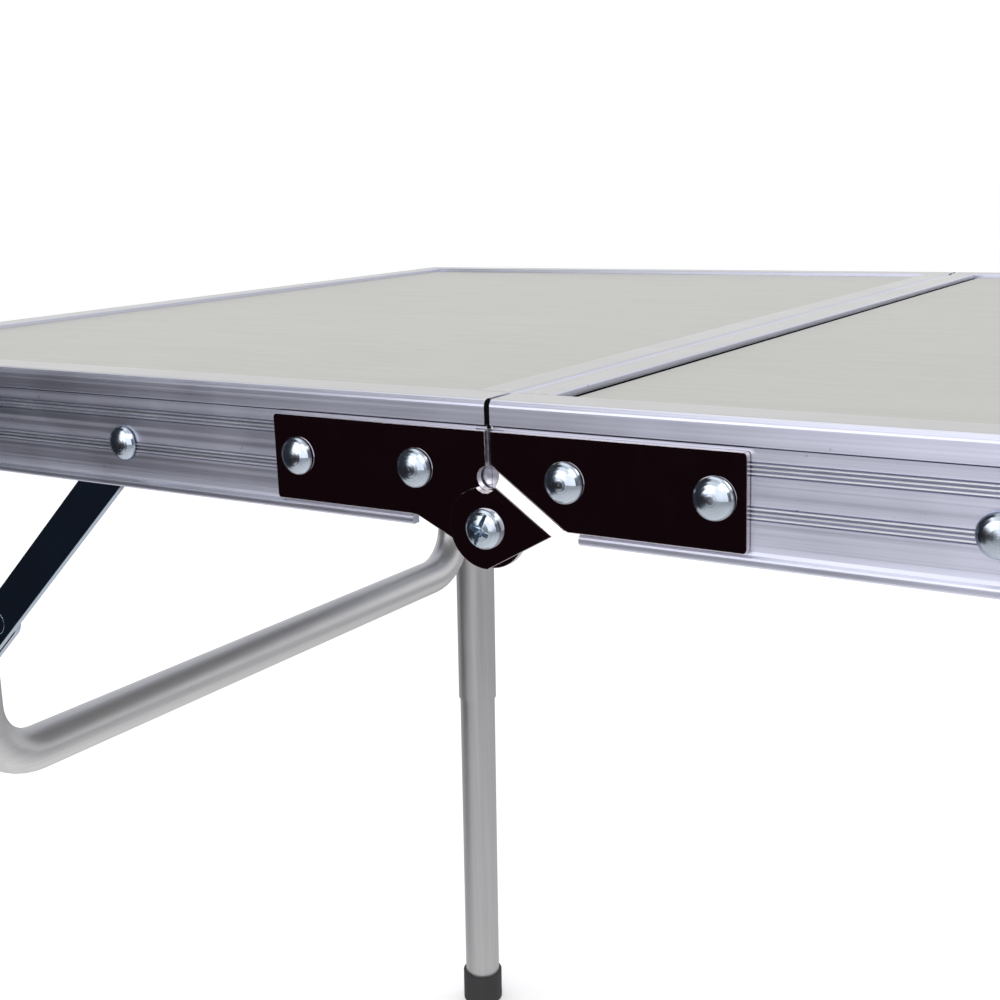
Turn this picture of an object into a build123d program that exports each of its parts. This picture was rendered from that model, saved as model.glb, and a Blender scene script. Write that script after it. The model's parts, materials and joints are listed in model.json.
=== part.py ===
from build123d import *
from math import sin, cos, radians, sqrt, atan2, degrees
import os

os.makedirs("parts", exist_ok=True)

# ---------------------------------------------------------------------------
# Folding camping table.  Millimetres.  X runs along the long side, Y across it
# (the front is at -Y), Z up.  The origin is on the floor under the centre.
# Two framed half tops meet at X = 0 and turn on a pair of plate hinges.
# ---------------------------------------------------------------------------

# table top
half_length = 300.0          # from the fold to the outer end
half_width = 200.0           # to the outer face of the long rails
top_z = 450.0                # top of the lip above the floor
split = 0.75                 # half the gap between the two halves

# rail extrusion
rail_h = 33.0
face_d = 1.1                 # depth of the recessed face below rim and lip
wall = 1.7
rim_h = 6.3                  # height of the upper rim band
lip_w = 12.0                 # width of the lip seen from above
ridge_h = 0.15               # ridge tops above the face
ridge_v = 0.30               # grooves between them below the face
shelf_z = 5.0                # panel seat below the top
shelf_t = 1.2
shelf_w = 6.0

# panel
panel_drop = 1.6             # panel surface below the lip
panel_gap = 0.3
fold_lip = 10.9              # width of the lip beside the fold
fold_gap = 2.0               # open gap between that lip and the panel

# hinge leaves
leaf_len = 66.8
leaf_top = 7.4
leaf_bot = 29.9
leaf_t = 1.6
leaf_back = 199.2            # distance of the leaf's back from the centre plane
ear_r = 10.2
ear_step = 1.7               # joggle of the outer ear
pin_r = 3.0
pin_clear = 0.06
keyhole_r = 2.8
keyhole_z = 18.9
pin_drop = 31.0              # hinge pin below the top
slot_l, slot_r = -0.3, 1.15  # edges of the slot between the leaves

# fasteners
rivet_r = 5.0
rivet_hh = 2.6
leaf_rivet_x = (21.4, 59.2)
leaf_rivet_z = 18.1
stay_xs = (126.5, 119.5)     # rail rivet of the stay, left and right half
stay_z = 20.0
corner_z = 16.0              # corner rivets, between the two groups of ridges

# legs
leg_x = 261.5
leg_y = 180.0
leg_z = 18.5
lean = 1.26                  # outward lean of the open leg, degrees
leg_r = 11.0
leg_bore = 10.25
leg_end = 232.0              # lower end of the outer tube, from the pivot
ext_r = 10.2
ext_ri = 9.4
ext_top_in = 12.0            # top of the sliding tube when pushed in
ext_bot_in = 246.5           # its lower end when pushed in
foot_r = 11.8
foot_floor = 4.3
foot_h = 14.0

# U brace
brace_r = 9.0
brace_ri = 7.8
brace_y = 159.9
brace_s = 147.0              # crossbar, from the pivot along the leg
brace_top = 72.0
brace_bend = 25.0

# stays
stay_w = 12.5
stay_t = 2.0
stay_deg = 42.63
up_out, up_in = 196.4, 194.4     # faces of the upper bar from the centre plane
lo_out, lo_in = 193.5, 191.5     # faces of the lower bar

sl, cl = sin(radians(lean)), cos(radians(lean))
pivot_z = top_z - pin_drop
face_u = half_width - face_d
web_in = face_u - wall
lip_in = half_width - lip_w

leg_total = (top_z - leg_z) / cl
ext_bot = leg_total - foot_floor
travel = ext_bot - ext_bot_in
ext_top = ext_top_in + travel

tan_d = sin(radians(stay_deg)) / cos(radians(stay_deg))


def linkage(stay_x):
    """Stay from A on the rail to B on the leg, straight when open.

    Folded, the upper bar lies level and the lower bar ends at the folded leg point.
    """
    stay_s = ((leg_x - stay_x) * tan_d + stay_z - leg_z) / (cl - sl * tan_d)
    bx, bz = leg_x + stay_s * sl, leg_z + stay_s * cl
    stay_len = sqrt((bx - stay_x) ** 2 + (bz - stay_z) ** 2)
    fx, fz = leg_x - stay_s, leg_z
    lo_, hi_ = 80.0, 120.0
    for _ in range(60):
        mid_ = (lo_ + hi_) / 2
        if sqrt((stay_x + mid_ - fx) ** 2 + (stay_z - fz) ** 2) + mid_ > stay_len:
            hi_ = mid_
        else:
            lo_ = mid_
    upper_len = (lo_ + hi_) / 2
    lower_fold = 180.0 + degrees(atan2(stay_z - fz, (stay_x + upper_len) - fx))
    return stay_s, bx, bz, upper_len, stay_len - upper_len, lower_fold


print("travel %.6f  leg_total %.4f  overlap %.2f" % (travel, leg_total, leg_end - ext_top))


def save(part, name):
    part.label = name
    export_step(part, "parts/%s.step" % name)


def ridge(zc):
    return [(face_u - ridge_v, -zc - 0.42), (face_u + ridge_h, -zc - 0.14),
            (face_u + ridge_h, -zc + 0.14), (face_u - ridge_v, -zc + 0.42)]


def rail_points():
    """Outline of the rail as (distance from the centre plane, height from the top)."""
    w = half_width
    pts = [(web_in, -rail_h), (w - 0.5, -rail_h), (w, -rail_h + 0.5), (w, -31.4),
           (w - 0.25, -30.95), (face_u + 0.25, -30.45), (face_u + 0.12, -29.6), (face_u, -28.2)]
    for group in ((22.05, 21.05, 20.05), (12.25, 11.25, 10.25)):
        pts.append((face_u, -group[0] - 0.62))
        for zc in group:
            pts += ridge(zc)
        pts.append((face_u, -group[-1] + 0.62))
    pts += [(face_u, -rim_h - 0.35), (face_u - 0.25, -rim_h - 0.2), (face_u - 0.25, -rim_h),
            (w - 0.2, -rim_h), (w, -rim_h + 0.2)]
    r = 1.7
    for a in (0, 18, 36, 54, 72, 90):
        pts.append((w - r + r * cos(radians(a)), -r + r * sin(radians(a))))
    pts += [(lip_in + 0.35, 0.0), (lip_in + 0.1, -0.1), (lip_in, -0.35), (lip_in, -shelf_z),
            (lip_in - shelf_w, -shelf_z), (lip_in - shelf_w, -shelf_z - shelf_t),
            (lip_in + 1.3, -shelf_z - shelf_t), (lip_in + 1.3, -1.6),
            (web_in - 1.2, -1.6), (web_in - 0.35, -1.95), (web_in, -2.8)]
    return pts


def shifted(pts, scale, shift=0.0):
    return [(scale * (u + shift), z + top_z) for u, z in pts]


def side_plane(x, z, sy):
    """Plane through (x, z): local x along X, local y outward across the table."""
    return Plane(origin=(x, 0, z), x_dir=(1, 0, 0), z_dir=(0, 0, sy))


def leg_pt(sx, s, y):
    return (sx * (leg_x + s * sl), y, top_z - leg_z - s * cl)


def up_axis(sx):
    return (-sx * sl, 0, cl)


def leg_plane(sx, s, y):
    """Plane square to the leg at distance s below the pivot, normal up the leg."""
    return Plane(origin=leg_pt(sx, s, y), x_dir=(0, 1, 0), z_dir=up_axis(sx))


def dome(base, r, h, rim):
    """Points of a domed head from its rim to its crown, as (radius, height)."""
    out = []
    for a in (0, 12, 24, 36, 48, 60, 70, 79, 85, 90):
        out.append((r * cos(radians(a)), base + rim + (h - rim) * sin(radians(a))))
    return out


for side, sx in (("left", -1), ("right", 1)):
    stay_x = stay_xs[0] if sx < 0 else stay_xs[1]
    stay_s, bx, bz, upper_len, lower_len, lower_fold = linkage(stay_x)
    print("%s stay_x %.4f stay_z %.4f stay_s %.4f upper_len %.4f lower_len %.4f lower_fold %.4f" % (
        side, stay_x, stay_z, stay_s, upper_len, lower_len, lower_fold))
    lip_end = 23.4 if sx < 0 else 24.4
    x_in = split if sx > 0 else -split

    # -- long rails ---------------------------------------------------------
    for end, sy in (("front", -1), ("back", 1)):
        with BuildPart() as long_rail:
            with BuildSketch(Plane.YZ.offset(x_in)):
                with BuildLine():
                    Polyline(*shifted(rail_points(), sy), close=True)
                make_face()
            extrude(amount=sx * (half_length - split))
            # mitre at the outer corner
            with BuildSketch(Plane.XY.offset(top_z - 60)):
                with BuildLine():
                    Polyline((sx * split / 2, sy * (half_width + 2)),
                             (sx * (half_length + 2), sy * (half_width + 2)),
                             (sx * (half_length - 100.05), sy * (half_width - 100)),
                             (sx * split / 2, sy * (half_width - 100)), close=True)
                make_face()
            extrude(amount=80, mode=Mode.INTERSECT)
            # lower edge cut away beside the hinge, with more room for the nut
            with BuildSketch(Plane.XY.offset(top_z - rail_h - 1)):
                with Locations((sx * (split + lip_end) / 2, sy * (half_width - 4))):
                    Rectangle(lip_end - split + 0.001, 14)
            extrude(amount=1 + rail_h - 29.3, mode=Mode.SUBTRACT)
            with BuildSketch(Plane.XY.offset(top_z - rail_h - 1)):
                with Locations((sx * 4.5, sy * (half_width - 4))):
                    Rectangle(9.0, 14)
            extrude(amount=10.5, mode=Mode.SUBTRACT)
            # behind the hinge slot the webs almost meet, and their faces are dressed flat
            with BuildSketch(Plane(origin=(sx * 0.66, sy * web_in, top_z - 15.8), x_dir=(1, 0, 0), z_dir=(0, sy, 0))):
                Rectangle(1.2, 16.4)
            extrude(amount=face_u - 0.35 - web_in)
            with BuildSketch(Plane(origin=(sx * 2.0, sy * (face_u - 0.35), top_z - 18.0), x_dir=(1, 0, 0), z_dir=(0, sy, 0))):
                Rectangle(4.0, 21.6)
            extrude(amount=0.7, mode=Mode.SUBTRACT)
            # holes: hinge leaf rivets, stay rivet, leg pivot, corner rivet
            for hx, hz, hr in [(leaf_rivet_x[0], leaf_rivet_z, 2.4), (leaf_rivet_x[1], leaf_rivet_z, 2.4),
                               (stay_x, stay_z, 2.5), (leg_x, leg_z, 3.0), (half_length - 12, corner_z, 1.6)]:
                with BuildSketch(Plane(origin=(sx * hx, sy * (web_in - 1), top_z - hz),
                                       x_dir=(1, 0, 0), z_dir=(0, sy, 0))):
                    Circle(hr)
                extrude(amount=5, mode=Mode.SUBTRACT)
        save(long_rail.part, "%s_rail_%s" % (side, end))

    # -- end rail -----------------------------------------------------------
    with BuildPart() as end_rail:
        with BuildSketch(Plane.XZ.offset(-half_width)):
            with BuildLine():
                Polyline(*shifted(rail_points(), sx, half_length - half_width), close=True)
            make_face()
        extrude(amount=2 * half_width)
        with BuildSketch(Plane.XY.offset(top_z - 60)):
            with BuildLine():
                Polyline((sx * (half_length + 2.05), half_width + 2),
                         (sx * (half_length - 100), half_width - 100),
                         (sx * (half_length - 100), -half_width + 100),
                         (sx * (half_length + 2.05), -half_width - 2), close=True)
            make_face()
        extrude(amount=80, mode=Mode.INTERSECT)
        for sy in (-1, 1):
            with BuildSketch(Plane(origin=(sx * (half_length - half_width + web_in - 1), sy * (half_width - 12),
                                           top_z - corner_z), x_dir=(0, 1, 0), z_dir=(sx, 0, 0))):
                Circle(1.6)
            extrude(amount=5, mode=Mode.SUBTRACT)
    save(end_rail.part, "%s_rail_end" % side)

    # -- fold rail ----------------------------------------------------------
    with BuildPart() as fold_rail:
        with BuildSketch(Plane.XZ.offset(-(lip_in - 0.05))):
            with BuildLine():
                Polyline(*[(sx * x, z + top_z) for x, z in (
                    (split, -12.0), (split, -1.2), (split + 0.35, -0.35), (split + 1.2, 0.0),
                    (fold_lip - 0.35, 0.0), (fold_lip, -0.35), (fold_lip, -shelf_z), (fold_lip + shelf_w, -shelf_z),
                    (fold_lip + shelf_w, -shelf_z - shelf_t), (fold_lip - 1.3, -shelf_z - shelf_t),
                    (fold_lip - 1.3, -1.5), (split + 1.5, -1.5), (split + 1.5, -12.0))], close=True)
            make_face()
        extrude(amount=2 * (lip_in - 0.05))
        # halving slots over the seats of the long rails
        for sy in (-1, 1):
            with BuildSketch(Plane.XY.offset(top_z - shelf_z - shelf_t - 0.05)):
                with Locations((sx * 12, sy * (lip_in - shelf_w / 2))):
                    Rectangle(40, shelf_w + 0.1)
            extrude(amount=shelf_t + 0.1, mode=Mode.SUBTRACT)
    save(fold_rail.part, "%s_rail_fold" % side)

    # -- panel --------------------------------------------------------------
    with BuildPart() as panel:
        with BuildSketch(Plane.XY.offset(top_z - shelf_z)):
            px0 = fold_lip + fold_gap
            px1 = half_length - lip_w - panel_gap
            with Locations((sx * (px0 + px1) / 2, 0)):
                Rectangle(px1 - px0, 2 * (lip_in - panel_gap))
        extrude(amount=shelf_z - panel_drop)
        chamfer(panel.faces().sort_by(Axis.Z)[-1].edges(), 0.25)
    save(panel.part, "%s_panel" % side)

    # -- corner angles inside the mitred corners ----------------------------
    with BuildPart() as corner_angles:
        for sy in (-1, 1):
            xo, yo = half_length - half_width + web_in, web_in
            with BuildSketch(Plane.XY.offset(top_z - 27)):
                with BuildLine():
                    Polyline(*[(sx * x, sy * y) for x, y in (
                        (xo - 0.05, yo - 0.05), (xo - 19, yo - 0.05), (xo - 19, yo - 1.55),
                        (xo - 1.55, yo - 1.55), (xo - 1.55, yo - 19), (xo - 0.05, yo - 19))], close=True)
                make_face()
            extrude(amount=17)
            with BuildSketch(Plane(origin=(sx * (half_length - 12), sy * (yo - 3), top_z - corner_z),
                                   x_dir=(1, 0, 0), z_dir=(0, sy, 0))):
                Circle(1.6)
            extrude(amount=5, mode=Mode.SUBTRACT)
            with BuildSketch(Plane(origin=(sx * (xo - 3), sy * (half_width - 12), top_z - corner_z),
                                   x_dir=(0, 1, 0), z_dir=(sx, 0, 0))):
                Circle(1.6)
            extrude(amount=5, mode=Mode.SUBTRACT)
    save(corner_angles.part, "%s_corner_angles" % side)

    with BuildPart() as corner_rivets:
        for sy in (-1, 1):
            xo = half_length - half_width + web_in
            prof = [(0, web_in - 2.7), (2.6, web_in - 2.7), (2.6, web_in - 1.6), (1.6, web_in - 1.6),
                    (1.6, face_u + ridge_h)] + dome(face_u + ridge_h, 3.0, 1.0, 0.2)
            with BuildSketch(side_plane(sx * (half_length - 12), top_z - corner_z, sy)):
                with BuildLine():
                    Polyline(*prof, close=True)
                make_face()
            revolve(axis=Axis((sx * (half_length - 12), 0, top_z - corner_z), (0, sy, 0)))
            shift = half_length - half_width
            with BuildSketch(Plane(origin=(0, sy * (half_width - 12), top_z - corner_z), x_dir=(0, 1, 0),
                                   z_dir=(0, 0, -sx))):
                with BuildLine():
                    Polyline(*[(r, u + shift) for r, u in prof], close=True)
                make_face()
            revolve(axis=Axis((0, sy * (half_width - 12), top_z - corner_z), (1, 0, 0)))
    save(corner_rivets.part, "%s_corner_rivets" % side)

    # -- hinge leaves -------------------------------------------------------
    for end, sy in (("front", -1), ("back", 1)):
        if sx < 0:
            # inner leaf: flat plate with a round ear under the fold
            with BuildPart() as leaf:
                with BuildSketch(Plane(origin=(0, sy * leaf_back, pivot_z), x_dir=(1, 0, 0), z_dir=(0, -1, 0))):
                    with BuildLine():
                        Polyline((-leaf_len, pin_drop - leaf_top), (slot_l, pin_drop - leaf_top),
                                 (slot_l, 0), (-9.0, -4.7), (-21.0, pin_drop - leaf_bot - 0.25),
                                 (-23.0, pin_drop - leaf_bot), (-leaf_len, pin_drop - leaf_bot), close=True)
                    make_face()
                    Circle(ear_r)
                    with Locations((0, pin_drop - keyhole_z)):
                        Circle(keyhole_r, mode=Mode.SUBTRACT)
                    Circle(pin_r + pin_clear, mode=Mode.SUBTRACT)
                    with Locations(*[(-x, pin_drop - leaf_rivet_z) for x in leaf_rivet_x]):
                        Circle(2.4, mode=Mode.SUBTRACT)
                extrude(amount=-sy * leaf_t)
                fillet(leaf.edges().filter_by(Axis.Y).sort_by(Axis.X)[0:2], 1.0)
            save(leaf.part, "left_leaf_%s" % end)
        else:
            # outer leaf: the ear is set out by one thickness over a slanting joggle
            b1 = (3.8, 13.5)
            ux, uz = 0.8225, -0.5687
            vx, vz = -0.5687, -0.8225
            out0 = leaf_back + leaf_t
            with BuildPart() as leaf:
                # bent sheet, drawn across the bend line and run along it
                with BuildSketch(Plane(origin=(b1[0] - 90 * ux, 0, pivot_z + b1[1] - 90 * uz),
                                       x_dir=(vx, 0, vz), z_dir=(ux * sy, 0, uz * sy))):
                    with BuildLine():
                        Polyline(*[(v, u) for v, u in (
                            (-90, leaf_back), (-90, out0), (-0.2, out0), (0.2, out0 + 0.05), (2.5, out0 + ear_step - 0.05),
                            (2.9, out0 + ear_step), (30, out0 + ear_step), (30, leaf_back + ear_step),
                            (3.2, leaf_back + ear_step), (2.8, leaf_back + ear_step - 0.05),
                            (0.5, leaf_back + 0.05), (0.1, leaf_back))], close=True)
                    make_face()
                extrude(amount=sy * 180)
                with BuildSketch(Plane(origin=(0, sy * (leaf_back - 2), pivot_z), x_dir=(1, 0, 0), z_dir=(0, -1, 0))):
                    Circle(ear_r)
                    with BuildLine():
                        Polyline((slot_r, pin_drop - leaf_top), (leaf_len, pin_drop - leaf_top),
                                 (leaf_len, pin_drop - leaf_bot), (22.0, pin_drop - leaf_bot),
                                 (21.2, 1.5), (0.3, -10.19), (0, 0), (slot_r, 10.0), close=True)
                    make_face()
                    # straight lower edge of the ear
                    with BuildLine():
                        Polyline((21.2 + 4.18, 1.5 + 2.34), (0.3, -10.19), (-3.88, -12.53), (14, -22), (40, -8), close=True)
                    make_face(mode=Mode.SUBTRACT)
                    with BuildLine():
                        Polyline((21.2, 1.5), (22.0, pin_drop - leaf_bot), (leaf_len, pin_drop - leaf_bot),
                                 (leaf_len, 10), (18, 10), close=True)
                    make_face()
                    with Locations((0.4, pin_drop - keyhole_z)):
                        Circle(keyhole_r + 0.5, mode=Mode.SUBTRACT)
                    Circle(pin_r, mode=Mode.SUBTRACT)
                    with Locations(*[(x, pin_drop - leaf_rivet_z) for x in leaf_rivet_x]):
                        Circle(2.4, mode=Mode.SUBTRACT)
                extrude(amount=-sy * 8, mode=Mode.INTERSECT)
                fillet(leaf.edges().filter_by(Axis.Y).sort_by(Axis.X)[-2:], 1.0)
            save(leaf.part, "right_leaf_%s" % end)

    # -- rivets of the hinge leaves -----------------------------------------
    with BuildPart() as leaf_rivets:
        for sy in (-1, 1):
            for hx in leaf_rivet_x:
                hb = leaf_back + leaf_t
                with BuildSketch(side_plane(sx * hx, top_z - leaf_rivet_z, sy)):
                    with BuildLine():
                        Polyline((0, web_in - 1.3), (3.6, web_in - 1.3), (3.9, web_in), (2.4, web_in), (2.4, hb),
                                 *dome(hb, rivet_r, rivet_hh, 0.35), close=True)
                    make_face()
                revolve(axis=Axis((sx * hx, 0, top_z - leaf_rivet_z), (0, sy, 0)))
    save(leaf_rivets.part, "%s_leaf_rivets" % side)

    # -- rail rivets that carry the stays -----------------------------------
    with BuildPart() as stay_rivets:
        for sy in (-1, 1):
            hb = face_u + ridge_h
            with BuildSketch(side_plane(sx * stay_x, top_z - stay_z, sy)):
                with BuildLine():
                    Polyline((0, up_in - 0.65), (3.8, up_in - 0.65), (4.0, up_in - 0.05), (2.5, up_in - 0.05),
                             (2.5, up_out + 0.05), (5.0, up_out + 0.05), (5.0, web_in), (2.5, web_in), (2.5, hb),
                             *dome(hb, rivet_r, rivet_hh, 0.35), close=True)
                make_face()
            revolve(axis=Axis((sx * stay_x, 0, top_z - stay_z), (0, sy, 0)))
    save(stay_rivets.part, "%s_stay_rivets" % side)

    # -- leg pivots -----------------------------------------------------------
    with BuildPart() as leg_bolts:
        for sy in (-1, 1):
            hb = face_u + ridge_h
            ti = leg_y - leg_r - 0.4
            with BuildSketch(side_plane(sx * leg_x, top_z - leg_z, sy)):
                with BuildLine():
                    Polyline((0, ti - 3.0), (3.6, ti - 3.0), (5.0, ti - 1.6), (5.0, ti), (3.0, ti), (3.0, hb),
                             *dome(hb, 5.8, 2.8, 0.4), close=True)
                make_face()
            revolve(axis=Axis((sx * leg_x, 0, top_z - leg_z), (0, sy, 0)))
    save(leg_bolts.part, "%s_leg_bolts" % side)

    with BuildPart() as leg_spacers:
        for sy in (-1, 1):
            with BuildSketch(Plane(origin=(sx * leg_x, sy * (leg_y + leg_r + 0.4), top_z - leg_z),
                                   x_dir=(1, 0, 0), z_dir=(0, sy, 0))):
                Circle(6.5)
                Circle(3.0, mode=Mode.SUBTRACT)
            extrude(amount=web_in - (leg_y + leg_r + 0.4))
    save(leg_spacers.part, "%s_leg_spacers" % side)

    # -- leg frame ------------------------------------------------------------
    for end, sy in (("front", -1), ("back", 1)):
        with BuildPart() as leg:
            with BuildSketch(leg_plane(sx, leg_end, sy * leg_y)):
                Circle(leg_r)
                Circle(leg_bore, mode=Mode.SUBTRACT)
            extrude(amount=leg_end + 3.0)
            with BuildSketch(Plane(origin=(sx * leg_x, sy * leg_y, top_z - leg_z), x_dir=(1, 0, 0), z_dir=(0, 1, 0))):
                Circle(pin_r + pin_clear)
            extrude(amount=15, both=True, mode=Mode.SUBTRACT)
            # hole for the stay pin in the outer wall
            p = leg_pt(sx, stay_s, sy * leg_y)
            with BuildSketch(Plane(origin=p, x_dir=(1, 0, 0), z_dir=(0, sy, 0))):
                Circle(3.2)
            extrude(amount=15, mode=Mode.SUBTRACT)
        save(leg.part, "%s_leg_%s" % (side, end))

    with BuildPart() as leg_plugs:
        for sy in (-1, 1):
            with BuildSketch(leg_plane(sx, 5.5, sy * leg_y)):
                Circle(leg_bore)
            extrude(amount=8.5)
            with BuildSketch(leg_plane(sx, -3.0, sy * leg_y)):
                Circle(10.6)
            extrude(amount=3.0, taper=35)
            with BuildSketch(Plane(origin=(sx * leg_x, sy * leg_y, top_z - leg_z), x_dir=(1, 0, 0), z_dir=(0, 1, 0))):
                Circle(pin_r + pin_clear)
            extrude(amount=15, both=True, mode=Mode.SUBTRACT)
    save(leg_plugs.part, "%s_leg_plugs" % side)

    with BuildPart() as brace:
        with BuildLine() as brace_path:
            FilletPolyline(leg_pt(sx, brace_top, -brace_y), leg_pt(sx, brace_s, -brace_y),
                           leg_pt(sx, brace_s, brace_y), leg_pt(sx, brace_top, brace_y), radius=brace_bend)
        with BuildSketch(Plane(origin=leg_pt(sx, brace_top, -brace_y), x_dir=(0, 1, 0), z_dir=(sx * sl, 0, -cl))):
            Circle(brace_r)
            Circle(brace_ri, mode=Mode.SUBTRACT)
        sweep(path=brace_path.wires()[0])
    save(brace.part, "%s_brace" % side)

    with BuildPart() as brace_caps:
        for sy in (-1, 1):
            with BuildSketch(leg_plane(sx, brace_top, sy * brace_y)):
                Circle(brace_r)
            extrude(amount=2.2, taper=20)
            with BuildSketch(leg_plane(sx, brace_top, sy * brace_y)):
                Circle(brace_ri)
            extrude(amount=-8)
    save(brace_caps.part, "%s_brace_caps" % side)

    with BuildPart() as brace_welds:
        for sy in (-1, 1):
            for s0 in (84.0, 108.0):
                # bead between the tubes, touching each along a line
                u3 = leg_y - sqrt(leg_r ** 2 - 9.0)
                k3 = 3.0 / sqrt(leg_r ** 2 - 9.0)
                w3 = brace_y + sqrt(brace_r ** 2 - 9.0)
                j3 = -3.0 / sqrt(brace_r ** 2 - 9.0)
                for sw in (-1, 1):
                    with BuildSketch(leg_plane(sx, s0, 0)):
                        with BuildLine():
                            Polyline(*[(sy * yy, sw * xx) for yy, xx in (
                                (w3 - 1.5 * j3, 1.5), (u3 - 1.5 * k3, 1.5), (u3 + 1.5 * k3, 4.5),
                                ((u3 + w3) / 2, 5.0), (w3 + 1.5 * j3, 4.5))], close=True)
                        make_face()
                    extrude(amount=12)
    save(brace_welds.part, "%s_brace_welds" % side)

    # -- sliding lower legs -----------------------------------------------------
    for end, sy in (("front", -1), ("back", 1)):
        with BuildPart() as ext:
            with BuildSketch(leg_plane(sx, ext_bot, sy * leg_y)):
                Circle(ext_r)
                Circle(ext_ri, mode=Mode.SUBTRACT)
            extrude(amount=ext_bot - ext_top)
        save(ext.part, "%s_lower_leg_%s" % (side, end))

    with BuildPart() as lock_plugs:
        for sy in (-1, 1):
            with BuildSketch(leg_plane(sx, ext_top + 11, sy * leg_y)):
                Circle(ext_ri)
            extrude(amount=11)
            with BuildSketch(leg_plane(sx, ext_top, sy * leg_y)):
                Circle(ext_r)
            extrude(amount=4.5)
    save(lock_plugs.part, "%s_lock_plugs" % side)

    with BuildPart() as feet:
        for sy in (-1, 1):
            with BuildSketch(leg_plane(sx, leg_total + 6, sy * leg_y)):
                Circle(foot_r)
            extrude(amount=6 + foot_floor + foot_h)
            with BuildSketch(leg_plane(sx, ext_bot, sy * leg_y)):
                Circle(ext_r)
            extrude(amount=foot_h + 1, mode=Mode.SUBTRACT)
        # the feet end flat on the floor
        with BuildSketch(Plane.XY):
            with Locations((sx * leg_x, 0)):
                Rectangle(100, 500)
        extrude(amount=-20, mode=Mode.SUBTRACT)
    save(feet.part, "%s_feet" % side)

    # -- folding stays -------------------------------------------------------------
    ca, sa = cos(radians(stay_deg)), sin(radians(stay_deg))
    d = (sx * ca, 0, -sa)
    kx, kz = sx * (stay_x + upper_len * ca), top_z - stay_z - upper_len * sa
    for end, sy in (("front", -1), ("back", 1)):
        up_sign = -sx * sy
        with BuildPart() as upper:
            with BuildSketch(Plane(origin=(sx * stay_x, sy * up_in, top_z - stay_z), x_dir=d, z_dir=(0, sy, 0))):
                with Locations(((upper_len + 8) / 2, 0)):
                    SlotCenterToCenter(upper_len + 8, stay_w)
                Circle(2.56, mode=Mode.SUBTRACT)
                with Locations((upper_len, 0)):
                    Circle(2.5, mode=Mode.SUBTRACT)
            extrude(amount=stay_t)
            # tab folded over the edge of the lower bar, which stops it when straight
            with BuildSketch(Plane(origin=(sx * stay_x, sy * lo_in, top_z - stay_z), x_dir=d, z_dir=(0, sy, 0))):
                with Locations((upper_len + 4.5, up_sign * (stay_w / 2 + 0.85))):
                    Rectangle(7, 1.5)
            extrude(amount=up_out - lo_in)
            with BuildSketch(Plane(origin=(sx * stay_x, sy * up_in, top_z - stay_z), x_dir=d, z_dir=(0, sy, 0))):
                with Locations((upper_len + 4.5, up_sign * (stay_w / 2 - 0.2))):
                    Rectangle(7, 2.0)
            extrude(amount=stay_t)
            # countersink for the flush rivet
            with BuildSketch(Plane(origin=(kx, sy * up_out, kz), x_dir=(1, 0, 0), z_dir=(0, sy, 0))):
                Circle(4.0)
            extrude(amount=-1.5, taper=45, mode=Mode.SUBTRACT)
        save(upper.part, "%s_stay_upper_%s" % (side, end))

        with BuildPart() as lower:
            with BuildSketch(Plane(origin=(kx, sy * lo_in, kz), x_dir=d, z_dir=(0, sy, 0))):
                with Locations((lower_len / 2, 0)):
                    SlotCenterToCenter(lower_len, stay_w)
                Circle(2.56, mode=Mode.SUBTRACT)
                with Locations((lower_len, 0)):
                    Circle(3.0, mode=Mode.SUBTRACT)
            extrude(amount=stay_t)
            # countersink for the flush inner end of the rivet
            with BuildSketch(Plane(origin=(kx, sy * lo_in, kz), x_dir=(1, 0, 0), z_dir=(0, -sy, 0))):
                Circle(3.7)
            extrude(amount=-1.1, taper=45, mode=Mode.SUBTRACT)
        save(lower.part, "%s_stay_lower_%s" % (side, end))

    with BuildPart() as knuckle_rivets:
        for sy in (-1, 1):
            with BuildSketch(side_plane(kx, kz, sy)):
                with BuildLine():
                    Polyline((0, lo_in), (3.55, lo_in), (2.5, lo_in + 1.05),
                             (2.5, lo_out + 0.05), (4.6, lo_out + 0.05), (4.6, up_in), (2.5, up_in),
                             (2.5, up_out - 1.5), (4.0, up_out), (0, up_out), close=True)
                make_face()
            revolve(axis=Axis((kx, 0, kz), (0, sy, 0)))
    save(knuckle_rivets.part, "%s_knuckle_rivets" % side)

    with BuildPart() as stay_pins:
        for sy in (-1, 1):
            with BuildSketch(side_plane(sx * bx, top_z - bz, sy)):
                with BuildLine():
                    Polyline((0, leg_y + leg_r + 0.4), (3.0, leg_y + leg_r + 0.4), (3.0, lo_out),
                             (4.2, lo_out), (4.0, lo_out + 0.15), (0, lo_out + 0.2), close=True)
                make_face()
            revolve(axis=Axis((sx * bx, 0, top_z - bz), (0, sy, 0)))
    save(stay_pins.part, "%s_stay_pins" % side)

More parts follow.
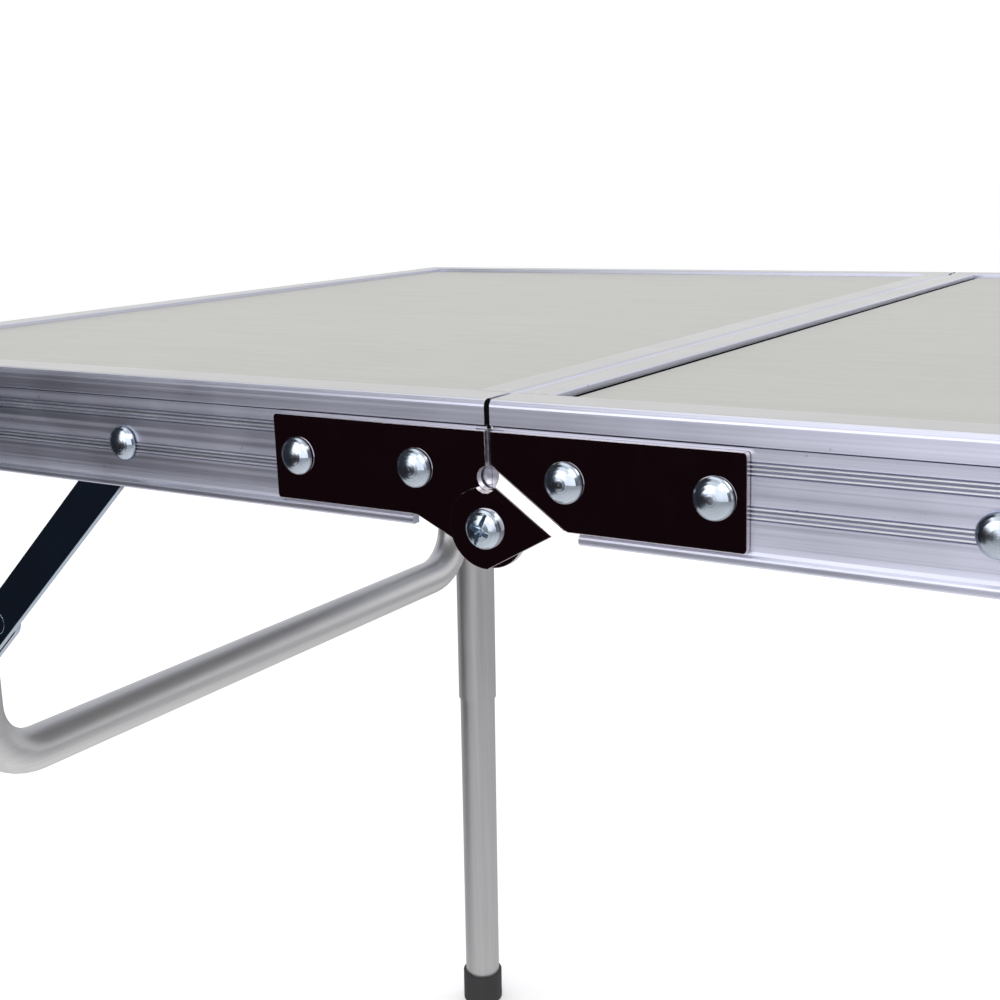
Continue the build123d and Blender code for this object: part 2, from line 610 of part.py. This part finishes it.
# -- hinge screws and nuts -----------------------------------------------------
with BuildPart() as hinge_screws:
    for sy in (-1, 1):
        hb = leaf_back + leaf_t + ear_step
        with BuildSketch(side_plane(0, pivot_z, sy)):
            with BuildLine():
                Polyline((0, 193.4), (2.6, 193.4), (3.0, 193.9), (3.0, hb), (5.0, hb), (5.0, hb + 0.5),
                         (4.85, hb + 1.1), (4.4, hb + 1.75), (3.7, hb + 2.25), (2.7, hb + 2.6), (1.5, hb + 2.8),
                         (0, hb + 2.85), close=True)
            make_face()
        revolve(axis=Axis((0, 0, pivot_z), (0, sy, 0)))
        with BuildSketch(Plane(origin=(0, sy * (hb + 3), pivot_z), x_dir=(1, 0, 0), z_dir=(0, sy, 0))):
            with Locations(Location((0, 0), sy * 22)):
                Rectangle(5.6, 1.45)
            with Locations(Location((0, 0), 90 + sy * 22)):
                Rectangle(9.0, 1.25)
        extrude(amount=-1.9, taper=12, mode=Mode.SUBTRACT)
        with BuildSketch(Plane(origin=(0, sy * (hb + 3), pivot_z), x_dir=(1, 0, 0), z_dir=(0, sy, 0))):
            Circle(1.5)
        extrude(amount=-2.4, taper=20, mode=Mode.SUBTRACT)
save(hinge_screws.part, "hinge_screws")

with BuildPart() as hinge_nuts:
    for sy in (-1, 1):
        with BuildSketch(Plane(origin=(0, sy * 194.6, pivot_z), x_dir=(1, 0, 0), z_dir=(0, sy, 0))):
            RegularPolygon(radius=5.7, side_count=6)
            Circle(3.0, mode=Mode.SUBTRACT)
        extrude(amount=4.2)
save(hinge_nuts.part, "hinge_nuts")
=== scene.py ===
import json
import math
import bpy
from mathutils import Matrix, Vector


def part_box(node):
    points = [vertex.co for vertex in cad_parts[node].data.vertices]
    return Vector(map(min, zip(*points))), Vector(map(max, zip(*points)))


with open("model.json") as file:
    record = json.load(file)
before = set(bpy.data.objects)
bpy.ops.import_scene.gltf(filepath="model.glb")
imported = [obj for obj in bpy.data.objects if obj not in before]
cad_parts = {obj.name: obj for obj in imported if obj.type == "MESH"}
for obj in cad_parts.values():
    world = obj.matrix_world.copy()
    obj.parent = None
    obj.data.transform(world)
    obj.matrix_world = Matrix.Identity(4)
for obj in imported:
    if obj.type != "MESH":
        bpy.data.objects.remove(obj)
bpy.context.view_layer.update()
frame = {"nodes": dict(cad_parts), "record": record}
nodes = frame["nodes"]
bodies = frame["record"]["behaviour"]["bodies"]


# ---------------------------------------------------------------- materials
def base(name, color, metallic, rough, **more):
    m = bpy.data.materials.new(name)
    m.use_nodes = True
    t = m.node_tree
    b = t.nodes["Principled BSDF"]
    b.inputs["Base Color"].default_value = (*color, 1.0)
    b.inputs["Metallic"].default_value = metallic
    b.inputs["Roughness"].default_value = rough
    for k, v in more.items():
        b.inputs[k.replace("_", " ")].default_value = v
    return m, t, b


def coords(t, scale=(1, 1, 1), rot=(0, 0, 0)):
    tc = t.nodes.new("ShaderNodeTexCoord")
    mp = t.nodes.new("ShaderNodeMapping")
    mp.inputs["Scale"].default_value = scale
    mp.inputs["Rotation"].default_value = rot
    t.links.new(tc.outputs["Object"], mp.inputs["Vector"])
    return mp.outputs["Vector"]


def noise(t, vec, scale, detail=4.0, rough=0.55, dist=0.0):
    n = t.nodes.new("ShaderNodeTexNoise")
    n.inputs["Scale"].default_value = scale
    n.inputs["Detail"].default_value = detail
    n.inputs["Roughness"].default_value = rough
    n.inputs["Distortion"].default_value = dist
    t.links.new(vec, n.inputs["Vector"])
    return n.outputs["Fac"]


def ramp(t, fac, stops):
    r = t.nodes.new("ShaderNodeValToRGB")
    e = r.color_ramp.elements
    while len(e) < len(stops):
        e.new(0.5)
    for i, (p, c) in enumerate(stops):
        e[i].position = p
        e[i].color = (*c, 1.0) if len(c) == 3 else c
    t.links.new(fac, r.inputs["Fac"])
    return r.outputs["Color"]


def span(t, fac, lo, hi, a=0.0, b=1.0):
    r = t.nodes.new("ShaderNodeMapRange")
    r.inputs["From Min"].default_value = a
    r.inputs["From Max"].default_value = b
    r.inputs["To Min"].default_value = lo
    r.inputs["To Max"].default_value = hi
    t.links.new(fac, r.inputs["Value"])
    return r.outputs["Result"]


def mix(t, fac, a, b, blend="MIX"):
    n = t.nodes.new("ShaderNodeMix")
    n.data_type = "RGBA"
    n.blend_type = blend
    if isinstance(fac, float):
        n.inputs["Factor"].default_value = fac
    else:
        t.links.new(fac, n.inputs["Factor"])
    for key, v in (("A", a), ("B", b)):
        s = [i for i in n.inputs if i.name == key and i.type == "RGBA"][0]
        if isinstance(v, tuple):
            s.default_value = (*v, 1.0)
        else:
            t.links.new(v, s)
    return [o for o in n.outputs if o.type == "RGBA"][0]


def bump(t, b, height, strength, distance, edge=0.0):
    n = t.nodes.new("ShaderNodeBump")
    if edge:
        r = t.nodes.new("ShaderNodeBevel")
        r.samples = 6
        r.inputs["Radius"].default_value = edge
        t.links.new(r.outputs["Normal"], n.inputs["Normal"])
    n.inputs["Strength"].default_value = strength
    n.inputs["Distance"].default_value = distance
    t.links.new(height, n.inputs["Height"])
    t.links.new(n.outputs["Normal"], b.inputs["Normal"])


def paint_gap_shadow(t, rough_out, col_out, mask, b):
    """Painted shade: near-black colour and rougher finish where mask is 1, standing in for the shadow deep in the
    narrow fold gap.
    """
    t.links.new(mix(t, mask, col_out, (0.012, 0.012, 0.014)), b.inputs["Base Color"])
    m = t.nodes.new("ShaderNodeMath")
    m.operation = "MAXIMUM"
    t.links.new(rough_out, m.inputs[0])
    k = t.nodes.new("ShaderNodeMath")
    k.operation = "MULTIPLY"
    t.links.new(mask, k.inputs[0])
    k.inputs[1].default_value = 0.8
    t.links.new(k.outputs["Value"], m.inputs[1])
    t.links.new(m.outputs["Value"], b.inputs["Roughness"])


def compare(t, value, op, limit):
    n = t.nodes.new("ShaderNodeMath")
    n.operation = op
    t.links.new(value, n.inputs[0])
    n.inputs[1].default_value = limit
    return n.outputs["Value"]


def times(t, a, b):
    n = t.nodes.new("ShaderNodeMath")
    n.operation = "MULTIPLY"
    t.links.new(a, n.inputs[0])
    t.links.new(b, n.inputs[1])
    return n.outputs["Value"]


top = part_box("left_rail_fold")[1][2]
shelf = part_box("left_panel")[0][2]


def ridged(t, col, z, x):
    """Painted shade in the grooves and painted highlight on the crests of the ridge groups."""
    def node(op, *vals):
        n = t.nodes.new("ShaderNodeMath")
        n.operation = op
        for i, v in enumerate(vals):
            if isinstance(v, (int, float)):
                n.inputs[i].default_value = v
            else:
                t.links.new(v, n.inputs[i])
        return n.outputs["Value"]
    mm = node("MULTIPLY", node("SUBTRACT", top, z), 1000.0)
    beside = node("GREATER_THAN", node("ABSOLUTE", x), 0.0042)
    out = col
    for first in (10.25, 20.05):
        inside = node("MULTIPLY", node("MULTIPLY", node("GREATER_THAN", mm, first - 0.66), node("LESS_THAN", mm, first + 2.66)), beside)
        wave = node("COSINE", node("MULTIPLY", node("SUBTRACT", mm, first), 2 * math.pi))
        low = node("MULTIPLY", inside, span(t, wave, 1.0, 0.0, -0.95, -0.1))
        crest_highlight = node("MULTIPLY", inside, span(t, wave, 0.0, 1.0, 0.0, 0.6))
        # painted shade darkens the grooves, painted highlight whitens the crests
        out = mix(t, low, out, (0.58, 0.585, 0.64), "MULTIPLY")
        out = mix(t, crest_highlight, out, (0.99, 0.99, 1.0))
    return out


def brushed(name, along, dark, light, rough_lo, rough_hi, streak=1.0, shade_in_gap=None, upper=None, tube_top_shade=None):
    """Extruded and anodised aluminium with draw marks along one axis, with optional painted shade and highlight on
    tops, ridges, under the rim and in the fold gap.
    """
    m, t, b = base(name, light, 1.0, (rough_lo + rough_hi) / 2)
    sc = {"x": (2, 700, 700), "y": (700, 2, 700), "z": (500, 500, 3)}[along]
    fine = noise(t, coords(t, sc), 1.0, 3.0, 0.6)
    sc2 = {"x": (1.5, 150, 150), "y": (150, 1.5, 150), "z": (60, 60, 3)}[along]
    broad = noise(t, coords(t, sc2), 1.0, 4.0, 0.55)
    cloud = noise(t, coords(t, (1, 1, 1)), 26.0, 5.0, 0.6, 0.4)
    nick = noise(t, coords(t, (1, 1, 1)), 420.0, 2.0, 0.5)
    col = ramp(t, fine, [(0.36, dark), (0.60, light)])
    col2 = ramp(t, broad, [(0.3, tuple(c * 0.90 for c in light)), (0.7, tuple(min(1, c * 1.04) for c in light))])
    both = mix(t, 0.5, col, col2)
    marks = ramp(t, nick, [(0.20, tuple(c * 0.55 for c in light)), (0.27, (1.0, 1.0, 1.0))])
    both = mix(t, 0.6 * streak, both, marks, "MULTIPLY")
    if upper:
        tn = t.nodes.new("ShaderNodeTexCoord")
        nz = t.nodes.new("ShaderNodeSeparateXYZ")
        t.links.new(tn.outputs["Normal"], nz.inputs["Vector"])
        pz = t.nodes.new("ShaderNodeSeparateXYZ")
        t.links.new(tn.outputs["Object"], pz.inputs["Vector"])
        # painted shade: upward-facing rail faces are mixed toward a darker, warmer colour, standing in for the tone the
        # tops take under this light
        up = span(t, nz.outputs["Z"], 0.0, 1.0, 0.80, 0.985)
        both = mix(t, up, both, mix(t, 0.85, both, upper))
        # painted shadow: a dark band on the web just under the rim, where the rim's overhang shades it
        under_rim_shadow = times(t, compare(t, pz.outputs["Z"], "LESS_THAN", top - 0.00615),
                     compare(t, pz.outputs["Z"], "GREATER_THAN", top - 0.00672))
        both = mix(t, under_rim_shadow, both, (0.30, 0.31, 0.38), "MULTIPLY")
        both = ridged(t, both, pz.outputs["Z"], pz.outputs["X"])
    # painted shade: the upper side of the tube is multiplied darker, standing in for shade on the tube's top
    if tube_top_shade:
        tn = t.nodes.new("ShaderNodeTexCoord")
        nz = t.nodes.new("ShaderNodeSeparateXYZ")
        t.links.new(tn.outputs["Normal"], nz.inputs["Vector"])
        both = mix(t, span(t, nz.outputs["Z"], 0.0, 1.0, 0.22, 0.70), both, tube_top_shade, "MULTIPLY")
    s = t.nodes.new("ShaderNodeMath")
    s.operation = "ADD"
    t.links.new(span(t, fine, rough_lo, rough_hi, 0.3, 0.7), s.inputs[0])
    t.links.new(span(t, cloud, -0.03, 0.04, 0.35, 0.65), s.inputs[1])
    # painted shade: faces deep in the fold gap (the cut rail ends and the fold rail walls below the panel top) are
    # painted near-black where the gap lies in shadow
    if shade_in_gap:
        tc = t.nodes.new("ShaderNodeTexCoord")
        sp = t.nodes.new("ShaderNodeSeparateXYZ")
        if shade_in_gap == "cut ends":
            t.links.new(tc.outputs["Normal"], sp.inputs["Vector"])
            sq = times(t, sp.outputs["X"], sp.outputs["X"])
            po = t.nodes.new("ShaderNodeSeparateXYZ")
            t.links.new(tc.outputs["Object"], po.inputs["Vector"])
            xx = times(t, po.outputs["X"], po.outputs["X"])
            mask = times(t, compare(t, sq, "GREATER_THAN", 0.9), compare(t, xx, "LESS_THAN", 0.003 ** 2))
            yy = times(t, po.outputs["Y"], po.outputs["Y"])
            deep = compare(t, po.outputs["Z"], "LESS_THAN", top - 0.0018)
            skin = compare(t, yy, "GREATER_THAN", 0.1972 ** 2)
            either = t.nodes.new("ShaderNodeMath")
            either.operation = "MAXIMUM"
            t.links.new(deep, either.inputs[0])
            t.links.new(skin, either.inputs[1])
            mask = times(t, times(t, mask, either.outputs["Value"]),
                         compare(t, po.outputs["Z"], "GREATER_THAN", top - 0.0074))
        else:
            t.links.new(tc.outputs["Object"], sp.inputs["Vector"])
            mask = times(t, compare(t, sp.outputs["Z"], "LESS_THAN", shade_in_gap[1]),
                         compare(t, sp.outputs["Z"], "GREATER_THAN", shade_in_gap[0]))
        paint_gap_shadow(t, s.outputs["Value"], both, mask, b)
    else:
        t.links.new(both, b.inputs["Base Color"])
        t.links.new(s.outputs["Value"], b.inputs["Roughness"])
    bump(t, b, fine, 0.10 * streak, 0.00003)
    return m


def plated(name, color, rough, smudge=0.10, tint=None, edge=0.0):
    """Polished plate with a few hair scratches and handling marks."""
    m, t, b = base(name, color, 1.0, rough)
    cloud = noise(t, coords(t), 70.0, 5.0, 0.62, 0.6)
    hair = noise(t, coords(t, (60, 900, 900), (0, 0.35, 0.2)), 1.0, 2.0, 0.5)
    t.links.new(span(t, cloud, rough, rough + smudge, 0.42, 0.72), b.inputs["Roughness"])
    c2 = tint or tuple(c * 0.86 for c in color)
    t.links.new(ramp(t, cloud, [(0.36, color), (0.7, c2)]), b.inputs["Base Color"])
    bump(t, b, hair, 0.16, 0.00003, edge)
    return m


def plastic(name, color, rough, grain=1400.0, depth=0.00006):
    m, t, b = base(name, color, 0.0, rough)
    g = noise(t, coords(t), grain, 2.0, 0.5)
    c = noise(t, coords(t), 60.0, 4.0, 0.6)
    t.links.new(ramp(t, c, [(0.3, tuple(v * 0.8 for v in color)), (0.7, tuple(min(1, v * 1.2) for v in color))]),
                b.inputs["Base Color"])
    t.links.new(span(t, c, rough - 0.06, rough + 0.08, 0.35, 0.65), b.inputs["Roughness"])
    bump(t, b, g, 0.3, depth)
    return m


def laminate(name):
    """Pale satin laminate with a fine printed grain and slight mottling."""
    m, t, b = base(name, (0.342, 0.337, 0.308), 0.0, 0.34)
    fine = noise(t, coords(t), 900.0, 3.0, 0.6)
    soft = noise(t, coords(t, (1, 1, 1)), 7.0, 4.0, 0.5)
    grain = noise(t, coords(t, (30, 500, 30)), 1.0, 3.0, 0.5)
    c1 = ramp(t, soft, [(0.3, (0.330, 0.326, 0.296)), (0.7, (0.352, 0.348, 0.318))])
    c2 = ramp(t, fine, [(0.35, (0.315, 0.310, 0.282)), (0.65, (0.366, 0.361, 0.330))])
    t.links.new(mix(t, 0.35, c1, c2), b.inputs["Base Color"])
    t.links.new(span(t, grain, 0.31, 0.37, 0.3, 0.7), b.inputs["Roughness"])
    bump(t, b, fine, 0.12, 0.00004)
    return m


ALU_D, ALU_L = (0.44, 0.452, 0.545), (0.74, 0.755, 0.87)
TUB_D, TUB_L = (0.56, 0.555, 0.56), (0.66, 0.655, 0.655)
# colour painted onto the upward-facing rail faces as shade
ALU_TOP_SHADE = (0.50, 0.495, 0.475)
mat = {
    "rail_x": brushed("rail aluminium lengthwise", "x", ALU_D, ALU_L, 0.30, 0.42, shade_in_gap="cut ends", upper=ALU_TOP_SHADE),
    "rail_y": brushed("rail aluminium crosswise", "y", ALU_D, ALU_L, 0.30, 0.42, upper=ALU_TOP_SHADE),
    "rail_f": brushed("fold rail aluminium", "y", ALU_D, ALU_L, 0.30, 0.42, shade_in_gap=(shelf - 0.0006, top - 0.0018), upper=ALU_TOP_SHADE),
    "tube_z": brushed("tube aluminium", "z", TUB_D, TUB_L, 0.36, 0.44, 0.3),
    # the brace's upper side gets painted shade
    "tube_y": brushed("brace aluminium", "y", (0.62, 0.615, 0.62), (0.72, 0.715, 0.715), 0.40, 0.48, 0.3, tube_top_shade=(0.70, 0.71, 0.75)),
    "weld": plated("weld bead", (0.66, 0.66, 0.68), 0.34, 0.16),
    "nickel": plated("polished nickel plate", (0.56, 0.53, 0.54), 0.035, 0.05, (0.50, 0.45, 0.45), 0.00022),
    "stay": plated("polished stay steel", (0.42, 0.47, 0.55), 0.06, 0.08, (0.36, 0.50, 0.62), 0.00022),
    "zinc": plated("bright zinc", (0.56, 0.63, 0.71), 0.17, 0.08),
    "laminate": laminate("panel laminate"),
    "plastic": plastic("black moulded plastic", (0.022, 0.022, 0.026), 0.42),
    "rubber": plastic("foot rubber", (0.03, 0.03, 0.032), 0.68, 900.0, 0.0001),
}


def finish_of(n):
    k = n.split("_", 1)[1]
    if n in ("hinge_screws", "hinge_nuts"):
        return "zinc"
    if k in ("rail_front", "rail_back"):
        return "rail_x"
    if k == "rail_fold":
        return "rail_f"
    if k in ("rail_end", "corner_angles"):
        return "rail_y"
    if k == "panel":
        return "laminate"
    if k in ("leaf_front", "leaf_back"):
        return "nickel"
    if k.startswith("stay_upper") or k.startswith("stay_lower") or k == "knuckle_rivets":
        return "stay"
    if "rivets" in k or k in ("leg_bolts", "stay_pins"):
        return "zinc"
    if k in ("leg_front", "leg_back") or k.startswith("lower_leg"):
        return "tube_z"
    if k == "brace":
        return "tube_y"
    if k == "brace_welds":
        return "weld"
    if k == "feet":
        return "rubber"
    return "plastic"


for n, o in nodes.items():
    m = mat[finish_of(n)]
    o.data.materials.clear()
    o.data.materials.append(m)


# ---------------------------------------------------------------- stage
def plane(name, size, loc, rot=(0, 0, 0)):
    me = bpy.data.meshes.new(name)
    x, y = size[0] / 2, size[1] / 2
    me.from_pydata([(-x, -y, 0), (x, -y, 0), (x, y, 0), (-x, y, 0)], [], [(0, 1, 2, 3)])
    o = bpy.data.objects.new(name, me)
    bpy.context.scene.collection.objects.link(o)
    o.location = loc
    o.rotation_euler = rot
    return o


floor = plane("floor", (60, 60), (0, 0, -0.0005))
fm, ft, fb = base("floor", (0.90, 0.90, 0.90), 0.0, 0.8)
fb.inputs["Emission Color"].default_value = (1, 1, 1, 1)
fb.inputs["Emission Strength"].default_value = 0.20
floor.visible_diffuse = False
floor.visible_glossy = False
floor.data.materials.append(fm)


def card(name, size, loc, target, color, strength):
    """A card that only mirror-like surfaces see, behind and beside the camera."""
    o = plane(name, size, loc)
    d = Vector(target) - Vector(loc)
    o.rotation_euler = d.to_track_quat("Z", "Y").to_euler()
    o.visible_camera = False
    o.visible_diffuse = False
    o.visible_shadow = False
    o.visible_transmission = False
    m = bpy.data.materials.new(name)
    m.use_nodes = True
    t = m.node_tree
    t.nodes.clear()
    e = t.nodes.new("ShaderNodeEmission")
    e.inputs["Color"].default_value = (*color, 1)
    e.inputs["Strength"].default_value = strength
    out = t.nodes.new("ShaderNodeOutputMaterial")
    t.links.new(e.outputs[0], out.inputs["Surface"])
    o.data.materials.append(m)
    return o


# dark flags in front of the long rail, seen only in reflections
card("flag front", (0.80, 0.46), (-0.715, -1.308, 0.106), (0.185, 0.078, 0.503), (0.010, 0.004, 0.006), 1.0)
card("flag left", (1.70, 3.20), (-1.508, -0.785, 0.790), (0.185, 0.078, 0.503), (0.013, 0.016, 0.024), 1.0)
card("bright above", (0.80, 0.98), (-0.630, -1.592, 0.898), (0.185, 0.078, 0.503), (1.0, 1.0, 1.04), 2.2)
card("bright front right", (1.7, 1.25), (0.42, -2.0, 0.68), (0.1, -0.2, 0.50), (1.0, 1.0, 1.05), 1.45)
card("grey right", (2.4, 2.4), (2.5, -1.7, 0.8), (-0.2, 0.1, 0.3), (0.16, 0.16, 0.19), 1.0)

world = bpy.data.worlds.new("studio")
bpy.context.scene.world = world
world.use_nodes = True
wt = world.node_tree
bg = wt.nodes["Background"]
tc = wt.nodes.new("ShaderNodeTexCoord")
sep = wt.nodes.new("ShaderNodeSeparateXYZ")
wt.links.new(tc.outputs["Generated"], sep.inputs["Vector"])
wr = wt.nodes.new("ShaderNodeValToRGB")
stops = ((0.0, (0.96, 0.95, 0.95)), (0.22, (0.74, 0.735, 0.74)), (0.33, (0.44, 0.44, 0.46)), (0.44, (0.28, 0.28, 0.31)),
         (0.478, (0.52, 0.52, 0.56)), (0.488, (1.04, 1.04, 1.04)), (0.62, (1.04, 1.04, 1.04)), (1.0, (0.74, 0.75, 0.79)))
el = wr.color_ramp.elements
while len(el) < len(stops):
    el.new(0.5)
for i, (p, c) in enumerate(stops):
    el[i].position = p
    el[i].color = (*c, 1)
wt.links.new(span(wt, sep.outputs["Z"], 0.0, 1.0, -1.0, 1.0), wr.inputs["Fac"])
wt.links.new(wr.outputs["Color"], bg.inputs["Color"])
bg.inputs["Strength"].default_value = 1.0
bpy.context.scene.view_settings.view_transform = "Standard"


def softbox(name, loc, target, size, power, color=(1, 1, 1)):
    d = bpy.data.lights.new(name, "AREA")
    d.shape = "RECTANGLE"
    d.size, d.size_y = size
    d.energy = power
    d.color = color
    o = bpy.data.objects.new(name, d)
    bpy.context.scene.collection.objects.link(o)
    o.location = loc
    o.rotation_euler = (Vector(target) - Vector(loc)).to_track_quat("-Z", "Y").to_euler()
    return o


softbox("key", (0.9, -1.7, 1.7), (0, 0, 0.4), (1.6, 1.0), 20, (1.0, 0.99, 0.97))
softbox("top", (-0.2, 0.3, 2.4), (0, 0, 0.4), (2.0, 2.0), 8)
softbox("left", (-1.9, -0.8, 1.5), (0, 0, 0.4), (1.0, 1.0), 1.5, (0.93, 0.96, 1.0))

# ---------------------------------------------------------------- camera
F_PX, YAW, PITCH, ROLL = 1423.7, 0.58006, 0.22695, 0.03342
POS = (0.18531, -0.47825, 0.50270)
cy, sy_, cp, sp = math.cos(YAW), math.sin(YAW), math.cos(PITCH), math.sin(PITCH)
fwd = Vector((-sy_ * cp, cy * cp, -sp))
right = Vector((cy, sy_, 0.0))
down = fwd.cross(right)
cr, sr = math.cos(ROLL), math.sin(ROLL)
r2 = cr * right + sr * down
d2 = -sr * right + cr * down
cam_data = bpy.data.cameras.new("camera")
cam = bpy.data.objects.new("camera", cam_data)
bpy.context.scene.collection.objects.link(cam)
cam_data.sensor_width = 36.0
cam_data.lens = F_PX / 1000.0 * 36.0
cam_data.clip_start = 0.01
rot = Matrix((r2, -d2, -fwd)).transposed()
cam.matrix_world = Matrix.Translation(POS) @ rot.to_4x4()
bpy.context.scene.camera = cam
